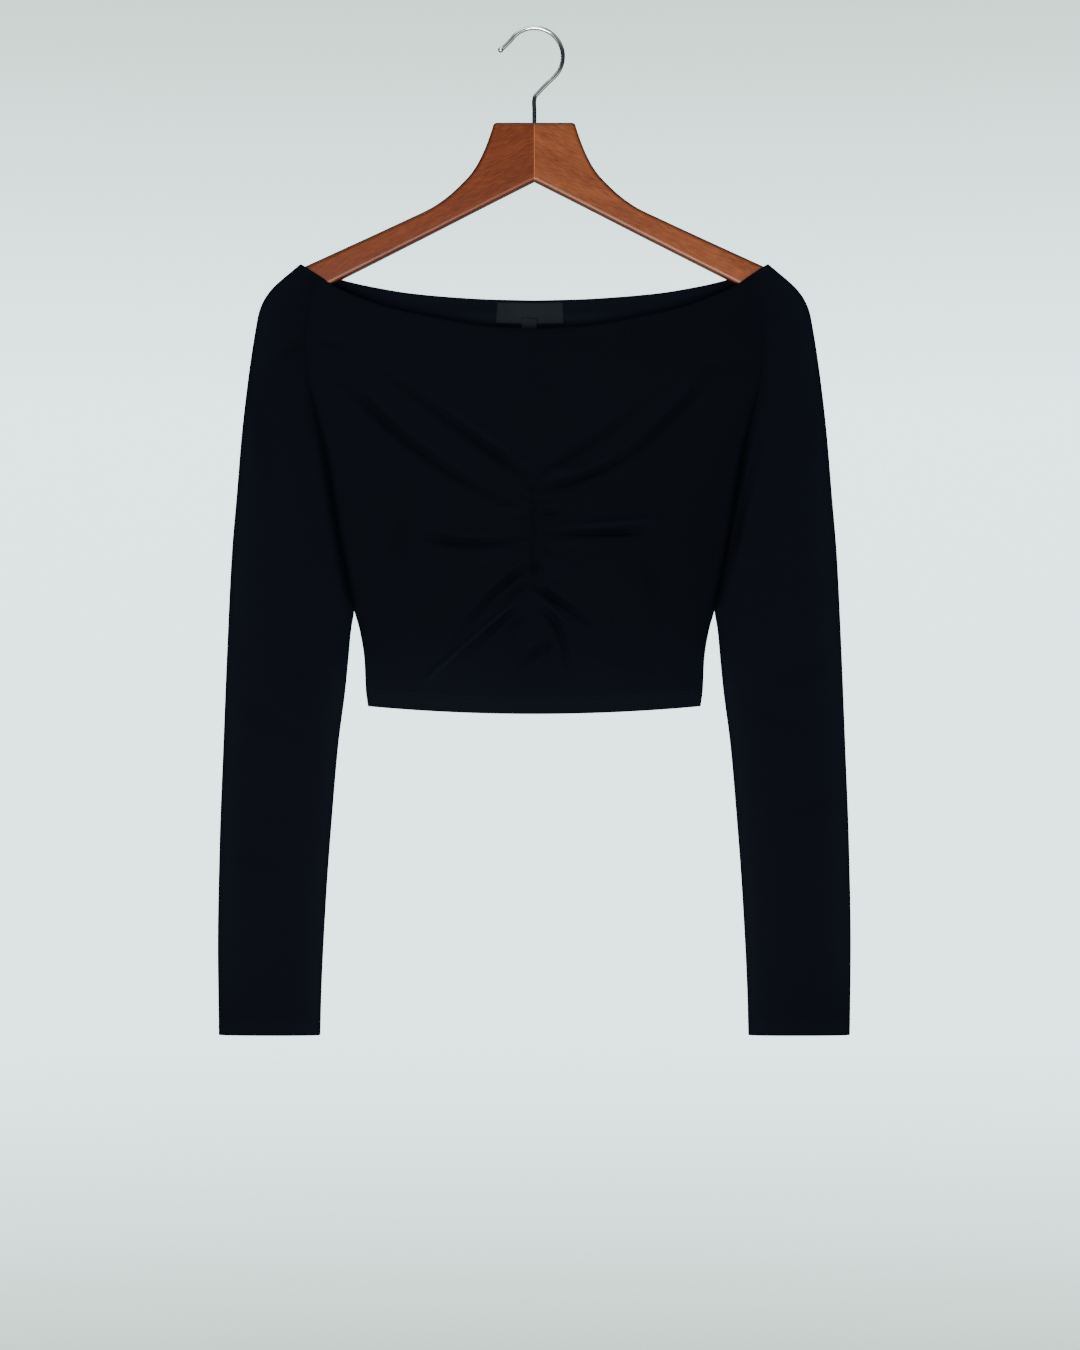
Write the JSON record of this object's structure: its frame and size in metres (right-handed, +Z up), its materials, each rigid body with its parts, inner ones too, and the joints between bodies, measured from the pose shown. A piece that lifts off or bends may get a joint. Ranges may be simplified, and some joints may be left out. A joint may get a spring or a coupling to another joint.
{
  "type": "long-sleeved crop top on a wooden hanger",
  "caption": "Long-sleeved jersey crop top with a wide neckline and a gathered centre front, hanging on a wooden clothes hanger with a wire hook.",
  "frame": {"origin": "inside top of the hanger's hook, where a rail or a nail carries it", "axes": "+Z up, the wearer's front faces -Y, +X is to the viewer's right"},
  "size_m": [0.5698, 0.0241, 0.9075],
  "materials": {
    "jersey": "black stretch jersey, soft dull sheen",
    "label": "dark woven satin, bare",
    "wood": "reddish-brown varnish, semi-gloss",
    "chrome": "polished wire"
  },
  "bodies": {
    "root": {"front_panel": "jersey", "back_panel": "jersey", "sleeve_left": "jersey", "sleeve_right": "jersey", "neck_label": "label", "size_tab": "label", "hanger_arm_left": "wood", "hanger_arm_right": "wood", "hanger_hook": "chrome"}
  },
  "joints": []
}
